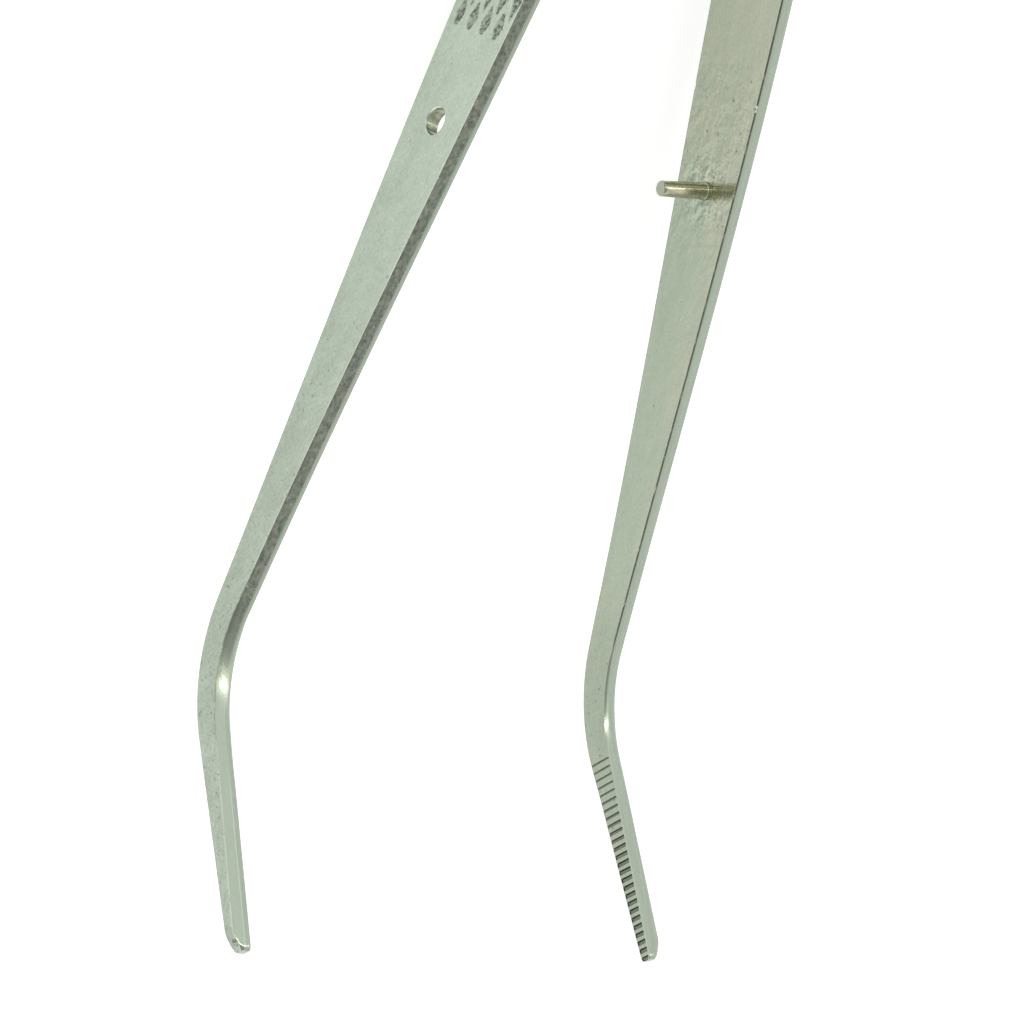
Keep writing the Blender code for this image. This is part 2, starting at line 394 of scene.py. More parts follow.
class Finish(Graph):
    """A metal material, with the places along a blade that its patterns follow."""

    def __init__(self, name):
        self.material = bpy.data.materials.new(name)
        self.material.use_nodes = True
        super().__init__(self.material.node_tree)
        self.shader = self.tree.nodes["Principled BSDF"]
        self.shader.inputs["Metallic"].default_value = 1.0

    def strip_place(self):
        """Millimetres from the guide pin, across the blade and out of its inner face.

        The last one is the third again, but with the two blades far apart.
        """
        strip = self.node("ShaderNodeUVMap", {"uv_map": "strip_mm"}).outputs[0]
        depth = self.node("ShaderNodeUVMap", {"uv_map": "depth_mm"}).outputs[0]
        along, across, _ = self.split(strip)
        outward, side, _ = self.split(depth)
        return along, across, outward, outward + side * 40.0

    def object_place(self):
        """Millimetres in the tool's own frame."""
        place = self.node("ShaderNodeTexCoord").outputs["Object"]
        return [axis * (1 / MILLIMETRE) for axis in self.split(place)]

    def finish(self, base, roughness, height, relief):
        """Feeds the shader. relief is the height's size in metres."""
        self.feed(self.shader.inputs["Base Color"], base)
        self.feed(self.shader.inputs["Roughness"], roughness)
        bump = self.node(
            "ShaderNodeBump", None, {"Strength": 1.0, "Distance": relief, "Height": height}
        )
        self.feed(self.shader.inputs["Normal"], bump.outputs[0])
        return self.material


def opaque(rgb, factor=1.0):
    return (rgb[0] * factor, rgb[1] * factor, rgb[2] * factor, 1.0)


# ---------------------------------------------------------------------------
# Finishes


def satin_outer_face(look):
    """Satin steel with a fine slanting hatch, torn knurl floors painted darker with depth as shade,
    painted dent shading, a painted rim highlight, painted crease shade and painted shade towards
    the tip.
    """
    made = Finish("satin_outer_face")
    along, across, _, apart = made.strip_place()
    cloud = made.noise(made.vector(along * 0.22, across * 0.45, apart * 0.1), 4.0)
    grain = made.noise(made.vector(along * 4.5, across * 6.0, apart), 2.0, 0.7)
    slant = math.radians(58)
    with_hatch = along * math.cos(slant) + across * math.sin(slant)
    over_hatch = across * math.cos(slant) - along * math.sin(slant)
    hatch = made.noise(made.vector(with_hatch * 0.35, over_hatch * 9.0, apart * 0.1), 3.0, 0.6)
    # Painted light and shade of shallow dents
    dent_shade = made.painted_dent_shade(along * 0.8, across * 1.2, apart, 2.0)
    # Towards the tip: more specks there, and a darker tone that is painted shade
    to_tip = made.smooth(along, -10.0, 46.0)
    specks = made.noise(made.vector(along * 1.9, across * 2.3, apart), 2.0, 0.6)
    speck = made.smooth(specks + to_tip * 0.07, 0.70, 0.76)
    sunk = made.attribute("sunk")
    torn = made.noise(made.vector(along * 3.2, across * 4.0, apart), 3.0, 0.75)
    light = 1.02 + (cloud - 0.5) * 0.30 + (grain - 0.5) * 0.50 + (hatch - 0.5) * 0.26
    light = light + dent_shade * 0.035 - to_tip * 0.20
    tone = made.shaded(opaque(look.satin), light)
    # The upper rim of the outer face, a slight lip on the real blade, gets a painted highlight, and
    # painted crease shade in the bend
    to_border = made.attribute("to_border") * (1 / MILLIMETRE)
    rim = made.smooth(to_border, 0.16, 0.02) * (across > 0.0)
    in_bend = made.smooth(along, 36.0, 39.0) * made.smooth(along, 56.0, 47.0)
    painted_shade = made.noise(made.vector(along * 1.1, across * 1.5, 5.0), 3.0, 0.7)
    tone = made.mix(rim * (1.0 - in_bend) * 0.5, tone, opaque(look.satin, 1.45))
    crease_shade = rim * in_bend * made.smooth(painted_shade, 0.40, 0.55)
    tone = made.mix(crease_shade * 0.7, tone, opaque(look.dark, 1.2))
    tone = made.mix(speck * 0.55, tone, opaque(look.dark, 1.3))
    # The knurl pits' torn floors, painted darker with their depth as shade
    torn_share = made.smooth(torn, 0.40, 0.60)
    torn_shaded_floor = made.mix(torn_share, opaque(look.dark, 1.0), opaque(look.satin, 0.76))
    tone = made.mix(made.smooth(sunk, 0.05, 0.50), tone, torn_shaded_floor)
    roughness = hatch * 0.08 + cloud * 0.06 + sunk * 0.12 + (look.satin_roughness - 0.07)
    height = hatch * 0.7 + grain * 0.3 + torn * sunk * 9.0
    return made.finish(tone, roughness, height, 3.5e-6)


def polished_inner_face(look):
    """Polished steel with stains, small pits, scratches and scuffs round the pin whose dents have
    painted light and shade, and painted shade in the serrations.
    """
    made = Finish("polished_inner_face")
    along, across, _, apart = made.strip_place()
    cloud = made.noise(made.vector(along * 0.16, across * 0.42, apart * 0.2), 4.0, 0.55)
    drawn = made.noise(made.vector(along * 0.25, across * 7.0, apart * 0.2), 3.0, 0.6)
    grain = made.noise(made.vector(along * 4.0, across * 5.0, apart * 0.2), 2.0, 0.7)
    to_head = made.smooth(along, 9.0, -9.0)
    to_tip = made.smooth(along, 30.0, 44.0)
    to_edge = made.smooth(across, 0.2, 2.4)
    tinted = made.smooth(cloud + to_edge * 0.17 + to_head * 0.20, 0.50, 0.80)
    scuffed = made.smooth(made.maths("ABSOLUTE", along + 3.0), 10.0, 4.0)
    from_pin = made.maths("SQRT", along * along + across * across)
    at_pin = made.smooth(from_pin, 3.6, 1.2)
    wave_shade_and_bump = made.painted_dent_shade(along * 0.50, across * 0.62, apart, 3.0)
    dent_shade = made.painted_dent_shade(along * 1.2, across * 1.5, apart + 6.0, 3.0)
    pit_field = made.noise(made.vector(along * 1.6, across * 2.1, apart * 0.2 + 9.0), 2.5, 0.65)
    pit = made.smooth(pit_field + scuffed * 0.05 + to_tip * 0.05, 0.69, 0.74)
    # Short curved scratches, where two noise fields meet
    bent = made.noise(made.vector(along * 0.8, across * 1.0, apart * 0.2 + 3.0), 2.0, 0.6)
    on_line = made.smooth(made.maths("ABSOLUTE", bent - 0.5), 0.014, 0.004)
    scratch = on_line * made.smooth(pit_field, 0.52, 0.60) * (scuffed * 0.8 + 0.2)
    light = 1.0 + (cloud - 0.5) * 0.20 + (grain - 0.5) * 0.34 + (drawn - 0.5) * 0.08
    light = light - to_tip * 0.14
    # Painted light and shade of waves and dents, strongest round the pin; the waves also go into
    # the bump
    light = light + wave_shade_and_bump * (0.020 + scuffed * 0.04 + at_pin * 0.14)
    light = light + dent_shade * (0.015 + scuffed * 0.05 + at_pin * 0.12)
    tone = made.mix(tinted * 0.8, opaque(look.polished), opaque(look.stain))
    tone = made.shaded(tone, light)
    tone = made.mix(pit * 0.75, tone, opaque(look.dark, 1.3))
    tone = made.mix(scratch * 0.45, tone, opaque(look.dark, 1.4))
    # Serration grooves painted darker with their depth, as shade
    groove = made.smooth(made.attribute("sunk"), 0.0, 0.8, 0.0, 0.72) * (0.55 + grain * 0.9)
    tone = made.mix(groove, tone, opaque(look.dark, 0.6))
    roughness = cloud * 0.06 + grain * 0.04 + pit * 0.2 + (look.polished_roughness - 0.05)
    height = drawn * 0.35 + wave_shade_and_bump * 0.4 - pit * 6.0
    return made.finish(tone, roughness, height, 2.4e-6)


def stained_bevel(look):
    """Coarsely ground bevel: brown next to the outer face, and clean again on the jaw, with painted
    crease shade in the bend, a painted ridge highlight and painted glints.
    """
    made = Finish("stained_bevel")
    along, across, outward, apart = made.strip_place()
    streak = made.noise(made.vector(along * 0.5, across * 3.0, apart * 5.0), 4.0, 0.62)
    mottle = made.noise(made.vector(along * 2.2, across * 1.5, apart * 3.6), 4.0, 0.7)
    patch = made.noise(made.vector(along * 0.35, 0.0, apart * 0.8), 2.0, 0.5)
    glint_specks = made.noise(made.vector(along * 3.2, across * 3.0, apart * 4.5), 2.0, 0.6)
    brown = made.smooth(outward * 0.35 + mottle * 1.3 + patch * 0.5, 1.08, 1.40)
    light = 1.0 + (mottle - 0.5) * 2.2 + (streak - 0.5) * 0.5
    tone = made.shaded(made.mix(brown, opaque(look.ground, 0.90), opaque(look.brown)), light)
    # Bright specks: painted glints
    tone = made.mix(made.smooth(glint_specks, 0.66, 0.73) * 0.8, tone, opaque(look.satin, 1.7))
    clean = 1.0 + (mottle - 0.5) * 0.16 + (streak - 0.5) * 0.10
    cleaned = made.smooth(along + (mottle - 0.5) * 3.0, 38.5, 42.5)
    tone = made.mix(cleaned, tone, made.shaded(opaque(look.jaw), clean))
    # Painted shade in the bend's crease, next to the outer face
    in_bend = made.smooth(along, 37.0, 40.0) * made.smooth(along, 49.0, 44.0)
    painted_shade = made.smooth(outward + (mottle - 0.5) * 1.2, 0.80, 1.15) * in_bend
    tone = made.mix(painted_shade * 0.75, tone, opaque(look.dark, 1.6))
    # Painted highlight along the ridge of the jaw's bevel
    ridge = made.smooth(outward, 0.64, 0.56) * made.smooth(along, 52.0, 56.0)
    tone = made.mix(ridge * 0.45, tone, opaque(look.satin, 1.5))
    uneven = 1.0 - cleaned * 0.8
    roughness = (streak * 0.10 + mottle * 0.10) * uneven + (look.ground_roughness - 0.08)
    roughness = roughness + painted_shade * 0.2
    height = (streak * 0.6 + mottle * 1.0) * uneven
    return made.finish(tone, roughness, height, 4.5e-6)


def ground_flank(name, tint, unevenness, look):
    """Evenly ground steel, faintly streaked along the blade."""
    made = Finish(name)
    along, across, _, apart = made.strip_place()
    streak = made.noise(made.vector(along * 0.12, across * 3.0, apart * 6.0), 3.0, 0.60)
    mottle = made.noise(made.vector(along * 1.7, across * 2.0, apart * 4.5), 3.0, 0.65)
    grain = made.noise(made.vector(along * 6.0, across * 6.0, apart * 9.0), 2.0, 0.6)
    glint_specks = made.noise(made.vector(along * 2.6, across * 3.0, apart * 5.0), 2.0, 0.6)
    light = 1.0 + ((streak - 0.5) * 1.1 + (mottle - 0.5) * 0.7 + (grain - 0.5) * 0.5) * unevenness
    tone = made.shaded(opaque(tint), light)
    # Bright specks: painted glints
    tone = made.mix(made.smooth(glint_specks, 0.69, 0.76) * 0.3, tone, opaque(look.satin, 1.35))
    roughness = streak * 0.08 + mottle * 0.06 + (look.ground_roughness - 0.07)
    return made.finish(tone, roughness, streak * 0.6 + grain * 0.4, 1.6e-6)


def grimy_chamfer(look, nick_at):
    """Chamfer of the inner face's edges: painted dark as the shade of its dark reflection, up to
    the bend, where the chamfer is worn and the painted shade stops; a painted glint on the nick.
    """
    made = Finish("grimy_chamfer")
    along, across, _, apart = made.strip_place()
    uneven = made.noise(made.vector(along * 0.9, across * 3.0, apart * 4.0), 4.0, 0.7)
    # From the bend on, where the chamfer is worn, the painted shade stops
    worn = made.smooth(along + (uneven - 0.5) * 2.0, 38.0, 40.5)
    painted_shade = made.smooth(uneven, 0.25, 0.50)
    # Painted glint where the nick catches the light
    nick = made.smooth(made.maths("ABSOLUTE", along - nick_at / MILLIMETRE), 0.32, 0.20)
    tone = made.mix(painted_shade * (1.0 - worn), opaque(look.jaw), opaque(look.dark))
    tone = made.mix(nick, tone, opaque(look.satin, 2.0))
    roughness = uneven * 0.10 + (look.ground_roughness - 0.05) - worn * 0.08
    return made.finish(tone, roughness, uneven * (1.0 - worn * 0.8), 2.5e-6)


def drilled_bore(name, tint):
    """Wall or broken edge of a drilled hole, with rings from the drill."""
    made = Finish(name)
    x, y, z = made.object_place()
    rings = made.noise(made.vector(x * 9.0, y * 0.9, z * 0.9), 3.0, 0.6)
    stain = made.noise(made.vector(x * 1.6, y * 1.6, z * 1.6), 3.0, 0.6)
    tone = made.mix(made.smooth(stain, 0.35, 0.65), opaque(tint), opaque(tint, 0.62))
    return made.finish(tone, rings * 0.12 + 0.22, rings, 3.0e-6)


def bright_pin_steel(look, end_x):
    """Turned bright steel, faintly ringed and warm, with dull stains."""
    made = Finish("bright_pin_steel")
    x, y, z = made.object_place()
    rings = made.noise(made.vector(x * 7.0, y * 0.6, z * 0.6), 3.0, 0.6)
    stain = made.noise(made.vector(x * 1.4, y * 1.7, z * 1.7), 3.0, 0.65)
    scratch = made.noise(made.vector(x * 0.8, y * 7.0, z * 7.0), 2.0, 0.6)
    tone = made.mix(made.smooth(stain, 0.40, 0.68), opaque(look.bright), opaque(look.bright, 0.62))
    cap = made.smooth(x, end_x / MILLIMETRE + 0.22, end_x / MILLIMETRE + 0.10)
    tone = made.mix(cap, tone, made.shaded(opaque(look.cap), 0.85 + scratch * 0.3))
    roughness = stain * 0.10 + rings * 0.05 + (look.bright_roughness - 0.07)
    return made.finish(tone, roughness, rings * 0.6 + scratch * 0.4, 2.5e-6)


def fused_weld_metal(look):
    """Dull rippled metal of the welded seam."""
    made = Finish("fused_weld_metal")
    x, y, z = made.object_place()
    ripple = made.noise(made.vector(x * 2.0, y * 1.6, z * 1.6), 4.0, 0.65)
    heat = made.noise(made.vector(x * 0.6, y * 0.5, z * 0.5), 2.0, 0.5)
    tone = made.mix(made.smooth(ripple, 0.35, 0.65), opaque(look.weld), opaque(look.dark, 1.3))
    tone = made.mix(made.smooth(heat, 0.5, 0.7) * 0.5, tone, opaque(look.stain, 0.7))
    return made.finish(tone, ripple * 0.2 + 0.32, ripple, 9.0e-6)


# ---------------------------------------------------------------------------
# Shape of a blade


def ease(value, start, end):
    """0 before start, 1 after end, and a half cosine wave between them."""
    part = min(max((value - start) / (end - start), 0.0), 1.0)
    return (1 - math.cos(math.pi * part)) / 2


def between(first, second, part):
    return first + (second - first) * part


def round_end(depth_in, length, blunt):
    """Share of the full size that is left at depth_in from where a round end starts."""
    part = min(max(depth_in / length, 0.0), 1.0)
    return blunt + (1 - blunt) * math.sqrt(1 - part * part)


class BladeShape:
    """Where the surface of a blade lies: a strip that leans out and then bends up."""

    PLAN_STEP = 0.00025
    PLAN_SPARE = 0.01  # how far the plan goes on past the tip
    JAW_FADE = 0.004  # past the bend, over which the arm's section becomes the jaw's
    WEAR_IN = (-0.001, 0.003)  # from the bend's start, over which the chamfer gets worn
    WEAR_OUT = (-0.002, 0.006)  # from the bend's end, over which the wear stops
    END_BREAK = 0.00008  # broken edges of the two ends
    SLOPE_CURVE = 1.5  # how much steeper the tip's slope gets towards its end

    def __init__(self, sizes):
        self.sizes = sizes
        self.spring_end = sizes.weld_length + sizes.spring_length
        self.pin_at = self.spring_end + sizes.arm_length
        self.bend_at = self.pin_at + sizes.pin_to_bend
        self.tangent = sizes.bend_radius * math.tan(sizes.bend_angle / 2)
        self.bend_start = self.bend_at - self.tangent
        self.bend_end = self.bend_start + sizes.bend_radius * sizes.bend_angle
        self.tip_at = self.bend_end + sizes.jaw_length - self.tangent
        self.plan_points = self.plan_table()

    def lean(self, along):
        """Angle between the middle plane and the blade."""
        sizes = self.sizes
        bow = sizes.bow / sizes.pin_to_bend
        widest = sizes.spread + bow * sizes.arm_length
        if along <= sizes.weld_length:
            return 0.0
        if along <= self.spring_end:
            return widest * (along - sizes.weld_length) / sizes.spring_length
        arm = widest - bow * (min(along, self.bend_at) - self.spring_end)
        toe = (along - self.bend_start) / (2 * self.tangent)
        return arm - sizes.toe * min(max(toe, 0.0), 1.0)

    def plan_table(self):
        """Points of the inner face seen from above, a step apart, from the head."""
        points = [(self.sizes.seam_gap / 2, 0.0)]
        step = self.PLAN_STEP
        for count in range(int((self.tip_at + self.PLAN_SPARE) / step)):
            angle = self.lean((count + 0.5) * step)
            x, y = points[-1]
            points.append((x + step * math.sin(angle), y - step * math.cos(angle)))
        return points

    def plan(self, along):
        position = min(max(along / self.PLAN_STEP, 0.0), len(self.plan_points) - 1.001)
        index = int(position)
        (x0, y0), (x1, y1) = self.plan_points[index], self.plan_points[index + 1]
        return between(x0, x1, position - index), between(y0, y1, position - index)

    def centre_line(self, distance):
        """(along, rise, heading) of the centre line in the blade's own plane."""
        radius = self.sizes.bend_radius
        if distance <= self.bend_start:
            return distance, 0.0, 0.0
        if distance <= self.bend_end:
            angle = (distance - self.bend_start) / radius
            return self.bend_start + radius * math.sin(angle), radius * (1 - math.cos(angle)), angle
        along, rise, angle = self.centre_line(self.bend_end)
        rest = distance - self.bend_end
        return along + rest * math.cos(angle), rise + rest * math.sin(angle), angle

    def frame_at(self, side, distance, across):
        """A point of the inner face and the direction out of the blade there."""
        along, rise, heading = self.centre_line(distance)
        along -= across * math.sin(heading)
        x, y = self.plan(along)
        angle = self.lean(along)
        height = LYING_HEIGHT + rise + across * math.cos(heading)
        point = Vector((side * x, y + HEAD_END, height))
        return point, Vector((side * math.cos(angle), math.sin(angle), 0.0))

    def place(self, side, distance, across, outward):
        point, outwards = self.frame_at(side, distance, across)
        return point + outwards * outward

    def width(self, distance):
        sizes = self.sizes
        from_pin = distance - self.pin_at
        if distance > self.bend_at:
            part = (distance - self.bend_at) / (self.tip_at - self.bend_at)
            return between(self.width(self.bend_at), sizes.tip_width, part)
        if from_pin < sizes.grip_end:
            part = ease(from_pin, -self.pin_at, sizes.grip_top)
            return between(sizes.head_width, sizes.grip_width, part)
        part = ease(from_pin, sizes.grip_end, sizes.neck_end)
        return between(sizes.grip_width, sizes.neck_width, part)

    def thickness(self, distance):
        part = (distance - self.bend_at) / (self.tip_at - self.bend_at)
        return between(self.sizes.thickness, self.sizes.tip_thickness, min(max(part, 0.0), 1.0))

    def corners(self, distance):
        """Corners of the section, (across, outward), round from the lower inner edge."""
        sizes = self.sizes
        to_end = min(distance, self.tip_at - distance)
        broken = self.END_BREAK * (1 - round_end(self.END_BREAK - to_end, self.END_BREAK, 0.0))
        half = self.width(distance) / 2
        half *= round_end(sizes.head_round - distance, sizes.head_round, sizes.head_blunt)
        past_round = distance - self.tip_at + sizes.tip_round
        half *= round_end(past_round, sizes.tip_round, sizes.tip_blunt)
        half -= broken
        deep = self.thickness(distance) - broken
        sloping = min(max((distance - self.tip_at) / sizes.tip_slope + 1, 0.0), 1.0)
        deep *= between(1.0, sizes.tip_depth, sloping ** self.SLOPE_CURVE)
        jaw = ease(distance, self.bend_start, self.bend_end + self.JAW_FADE)
        wear_from, wear_full = (self.bend_start + past for past in self.WEAR_IN)
        wear_less, wear_to = (self.bend_end + past for past in self.WEAR_OUT)
        worn = ease(distance, wear_from, wear_full) * (1 - ease(distance, wear_less, wear_to))
        chamfer = min(between(sizes.chamfer_width, sizes.worn_width, worn), half / 3)
        edge = between(sizes.edge_height, sizes.jaw_edge_height, jaw)
        inset = between(sizes.bevel_inset, sizes.jaw_bevel_inset, jaw)
        crown = jaw * sizes.jaw_crown
        return [
            (half - chamfer, broken),
            (half, broken + between(sizes.chamfer_height, sizes.worn_height, worn)),
            (half, edge),
            (half - inset / 2 + crown, (edge + deep) / 2 + crown),
            (half - inset, deep),
        ]

    def section(self, distance):
        """Points round the section, (across, outward, finish), with softened corners."""
        upper = self.corners(distance)
        ring = upper + [(-across, outward) for across, outward in reversed(upper)]
        rounds = [SOFTENING[i] for i in range(len(upper))]
        rounds += list(reversed(rounds))
        soft = []
        for i, corner in enumerate(ring):
            soft.append(soften(ring[i - 1], corner, ring[(i + 1) % len(ring)], rounds[i]))
        points = []
        for i, (_, middle, after) in enumerate(soft):
            cuts, finish = FACETS[i]
            start, end = after, soft[(i + 1) % len(soft)][0]
            points.append((*middle, finish))
            for cut in range(cuts + 1):
                across = between(start[0], end[0], cut / cuts)
                points.append((across, between(start[1], end[1], cut / cuts), finish))
        return points


# Rounding of the corners of a section, from the inner face to the outer face
SOFTENING = (0.00004, 0.00004, 0.00006, 0.00012, 0.00005)
# How many parts each side of a section is cut into, and its finish, in the same order
UPPER_FACETS = ((1, CHAMFER), (2, EDGE), (2, BEVEL), (2, BEVEL))
FACETS = (*UPPER_FACETS, (56, OUTER), *reversed(UPPER_FACETS), (12, INNER))

# Serrations that stay narrow, and those over which they get wider
EVEN_GROOVES = 4.0
GROWING_GROOVES = 9.0

# The last rows of knurling, from the pin, where the sections are closest together
FINE_ROWS = (-0.012, -0.0066)

DIMPLES = (0.40, 0.76)  # middles of the two dimples, as shares of the heel's length
NICK_SPREAD = 0.00024
TIP_NICK_BACK = 0.0007  # from the tip
TIP_NICK_ACROSS = 0.00018
TIP_NICK_SPREAD = 0.00022


def soften(before, corner, after, length):
    """Three points that round a corner, on its two sides and between."""
    to_before = Vector(before) - Vector(corner)
    to_after = Vector(after) - Vector(corner)
    length = min(length, to_before.length * 0.3, to_after.length * 0.3)
    start = Vector(corner) + to_before.normalized() * length
    end = Vector(corner) + to_after.normalized() * length
    return tuple(start), tuple((start + 2 * Vector(corner) + end) / 4), tuple(end)


def evenly(start, end, step):
    count = max(1, round((end - start) / step))
    return [between(start, end, i / count) for i in range(count + 1)]


def first_groove(shape, relief):
    last = shape.tip_at - relief.groove_to_tip
    return last - (relief.groove_count - 1) * relief.groove_pitch


def groove_width(relief, index):
    part = min(max((index - EVEN_GROOVES) / GROWING_GROOVES, 0.0), 1.0)
    return between(relief.groove_narrow, relief.groove_wide, part)


def stations(shape, relief):
    """Distances from the head at which the blade has a section."""
    sizes = shape.sizes
    pin_at = shape.pin_at
    turns = [math.pi / 2 * i / 7 for i in range(8)]
    found = [shape.END_BREAK * (1 - math.cos(angle)) for angle in turns[::2]]
    found += [sizes.head_round * (1 - math.cos(angle)) for angle in turns]
    first = first_groove(shape, relief)
    fine_start, fine_end = (pin_at + from_pin for from_pin in FINE_ROWS)
    # Each stretch ends where the next one starts, and has its own step
    stretches = (
        (sizes.weld_length, 0.0003),
        (shape.spring_end, 0.0005),
        (pin_at + relief.knurl_start, 0.001),
        (fine_start, 0.00016),
        (fine_end, 0.00009),
        (shape.bend_start, 0.0008),
        (first - relief.groove_pitch, 0.0003),
    )
    start = sizes.head_round
    for end, step in stretches:
        found += evenly(start, end, step)
        start = end
    for index in range(relief.groove_count):
        middle = first + index * relief.groove_pitch
        half = groove_width(relief, index) / 2
        found += [middle + half * offset for offset in (-1.0, -0.8, -0.6, 0.0, 0.6, 0.8, 1.0)]
        found.append(middle - relief.groove_pitch / 2)
    round_start = shape.tip_at - sizes.tip_slope
    found += [round_start + sizes.tip_slope * math.sin(angle) for angle in turns]
    found += [shape.tip_at - shape.END_BREAK * (1 - math.cos(angle)) for angle in turns[::2]]
    kept = []
    for distance in sorted(found):
        if distance <= shape.tip_at and (not kept or distance - kept[-1] > 4e-6):
            kept.append(distance)
    return kept


def pressed(shape, side, from_pin, across, outward, finish):
    """How far a point is pushed out of the blade by the dimples and the nicks."""
    sizes = shape.sizes
    distance = from_pin + shape.pin_at
    if finish == OUTER and distance < sizes.weld_length:
        push = 0.0
        for part in DIMPLES:
            away = math.hypot(distance - sizes.weld_length * part, across) / sizes.dimple_radius
            push -= sizes.dimple_depth * (1 - ease(away, 0.55, 1.0))
        return push
    if side == RIGHT and finish in (INNER, CHAMFER) and across > 0:
        half = shape.corners(distance)[1][0]
        away = math.hypot(from_pin - sizes.nick_at, (half - across) * 1.2)
        return sizes.nick_depth * math.exp(-((away / NICK_SPREAD) ** 2))
    if side == LEFT and outward > sizes.edge_height:
        back = shape.tip_at - distance - TIP_NICK_BACK
        away = math.hypot(back, across - TIP_NICK_ACROSS)
        return -sizes.tip_nick_depth * math.exp(-((away / TIP_NICK_SPREAD) ** 4))
    return 0.0


def tube_mesh(name, places, around, flipped=False):
    """A tube closed at both ends, from its points ring after ring, so many to a ring."""
    last = len(places) - around
    faces = []
    for ring in range(0, last, around):
        for i in range(around):
            one, two = ring + i, ring + (i + 1) % around
            faces.append((one, two, two + around, one + around))
    faces.append(tuple(reversed(range(around))))
    faces.append(tuple(range(last, last + around)))
    if flipped:
        faces = [tuple(reversed(face)) for face in faces]
    mesh = bpy.data.meshes.new(name)
    mesh.from_pydata(places, [], faces)
    return mesh


def blade_mesh(name, shape, relief, side):
    """The plain strip as a closed mesh, with what the relief and the finishes read."""
    rings = [(distance, shape.section(distance)) for distance in stations(shape, relief)]
    places, outs, facts = [], [], []
    for distance, section in rings:
        from_pin = distance - shape.pin_at
        corners = shape.corners(distance)
        borders = {INNER: corners[0][0], OUTER: corners[-1][0]}
        for across, outward, finish in section:
            point, outwards = shape.frame_at(side, distance, across)
            push = pressed(shape, side, from_pin, across, outward, finish)
            places.append(point + outwards * (outward + push))
            outs.append(outwards)
            to_border = borders.get(finish, 0.0) - abs(across)
            facts.append((from_pin, across, outward, to_border))
    finishes = [finish for _, section in rings[:-1] for _, _, finish in section]
    finishes += [EDGE, EDGE]
    # The rings run so that the faces point outwards on the left blade
    mesh = tube_mesh(name, places, len(rings[0][1]), flipped=side == RIGHT)
    add_attributes(mesh, outs, facts, finishes)
    add_strip_maps(mesh, facts, side)
    return mesh


def add_attributes(mesh, outs, facts, finishes):
    for index, name in enumerate(("from_pin", "across", "outward", "to_border")):
        attribute = mesh.attributes.new(name, "FLOAT", "POINT")
        attribute.data.foreach_set("value", [fact[index] for fact in facts])
    attribute = mesh.attributes.new("outwards", "FLOAT_VECTOR", "POINT")
    attribute.data.foreach_set("vector", [part for out in outs for part in out])
    attribute = mesh.attributes.new("finish", "INT", "FACE")
    attribute.data.foreach_set("value", finishes)


def add_strip_maps(mesh, facts, side):
    """Two maps that hold, in millimetres, each corner's place on the unbent strip."""
    strip = mesh.uv_layers.new(name="strip_mm")
    depth = mesh.uv_layers.new(name="depth_mm")
    strip_values, depth_values = [], []
    for loop in mesh.loops:
        from_pin, across, outward, _ = facts[loop.vertex_index]
        strip_values += [from_pin / MILLIMETRE, across / MILLIMETRE]
        depth_values += [outward / MILLIMETRE, side]
    strip.data.foreach_set("uv", strip_values)
    depth.data.foreach_set("uv", depth_values)


# ---------------------------------------------------------------------------
# Knurling and serrations


FINISH_INPUTS = ("Inner Face", "Chamfer", "Edge", "Bevel", "Outer Face")


